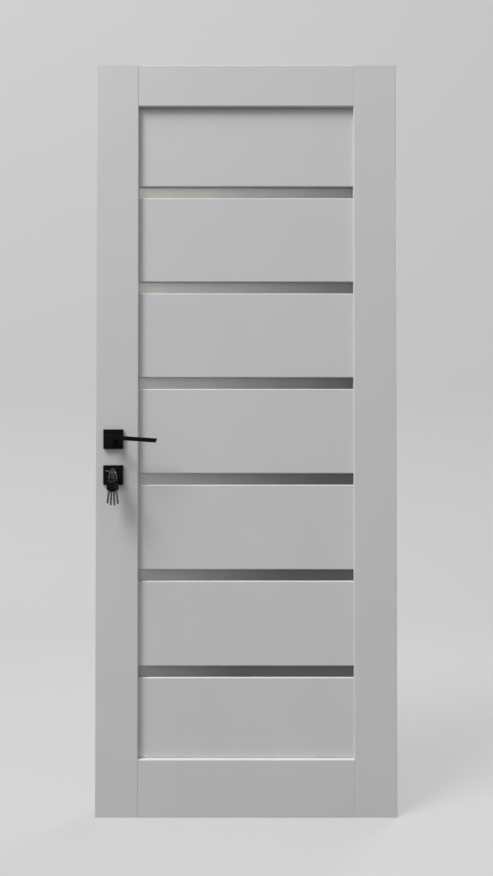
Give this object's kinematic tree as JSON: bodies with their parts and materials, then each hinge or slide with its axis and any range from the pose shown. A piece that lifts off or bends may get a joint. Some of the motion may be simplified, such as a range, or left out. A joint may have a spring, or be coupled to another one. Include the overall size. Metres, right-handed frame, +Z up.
{
  "type": "interior door leaf with lever set and keys",
  "caption": "Flush-edged interior door leaf with set-back horizontal slats, frosted glass strips, black lever set, profile cylinder and a hanging key bunch.",
  "frame": {"origin": "middle of the flat hinge edge, half way up and half way through the leaf", "axes": "+Z up, +X from the lock edge to the hinge edge, +Y from the front to the back of the leaf"},
  "size_m": [0.8, 0.1567, 2],
  "materials": {
    "white_film": "satin white film over wood and fibreboard",
    "satin_glass": "acid-etched grey glass",
    "black_handle": "satin black coating",
    "black_lock": "satin black coating",
    "zinc_steel": "zinc plated",
    "nickel": "satin nickel",
    "key_steel": "nickel plated",
    "key_plastic": "moulded black plastic"
  },
  "bodies": {
    "leaf": {"lock_stile": "white_film", "hinge_stile": "white_film", "top_rail": "white_film", "bottom_rail": "white_film", "slat_1": "white_film", "slat_2": "white_film", "slat_3": "white_film", "slat_4": "white_film", "slat_5": "white_film", "slat_6": "white_film", "slat_7": "white_film", "glass_1": "satin_glass", "glass_2": "satin_glass", "glass_3": "satin_glass", "glass_4": "satin_glass", "glass_5": "satin_glass", "glass_6": "satin_glass", "lock_case": "zinc_steel", "lock_faceplate": "black_lock", "latch_bolt": "black_lock", "dead_bolt": "black_lock", "front_rose": "black_handle", "back_rose": "black_handle", "front_escutcheon": "black_handle", "back_escutcheon": "black_handle", "cylinder_body": "nickel", "back_plug": "nickel"},
    "lever": {"spindle": "zinc_steel", "follower": "zinc_steel", "front_lever": "black_handle", "back_lever": "black_handle"},
    "key": {"front_plug": "nickel", "lock_key": "key_steel"},
    "key_bunch": {"split_ring": "key_steel", "key_head_1": "key_plastic", "key_head_2": "key_plastic", "key_head_3": "key_plastic", "key_head_4": "key_plastic", "key_blade_1": "key_steel", "key_blade_2": "key_steel", "key_blade_3": "key_steel", "key_blade_4": "key_steel"}
  },
  "joints": [
    {"name": "lever_turn", "type": "hinge", "parent": "leaf", "child": "lever", "pos_m": [-0.752, 0, 0], "axis": [0, 1, 0], "range_deg": [0, 40], "stiffness_Nm_per_rad": 1, "springref_deg": -28.65},
    {"name": "key_turn", "type": "hinge", "parent": "leaf", "child": "key", "pos_m": [-0.752, 0, -0.085], "axis": [0, 1, 0], "range_deg": [0, 78]},
    {"name": "bunch_swing", "type": "hinge", "parent": "key", "child": "key_bunch", "pos_m": [-0.74593, -0.06259, -0.09809], "axis": [0.6428, 0.766, 0], "range_deg": [-75, 30]}
  ]
}
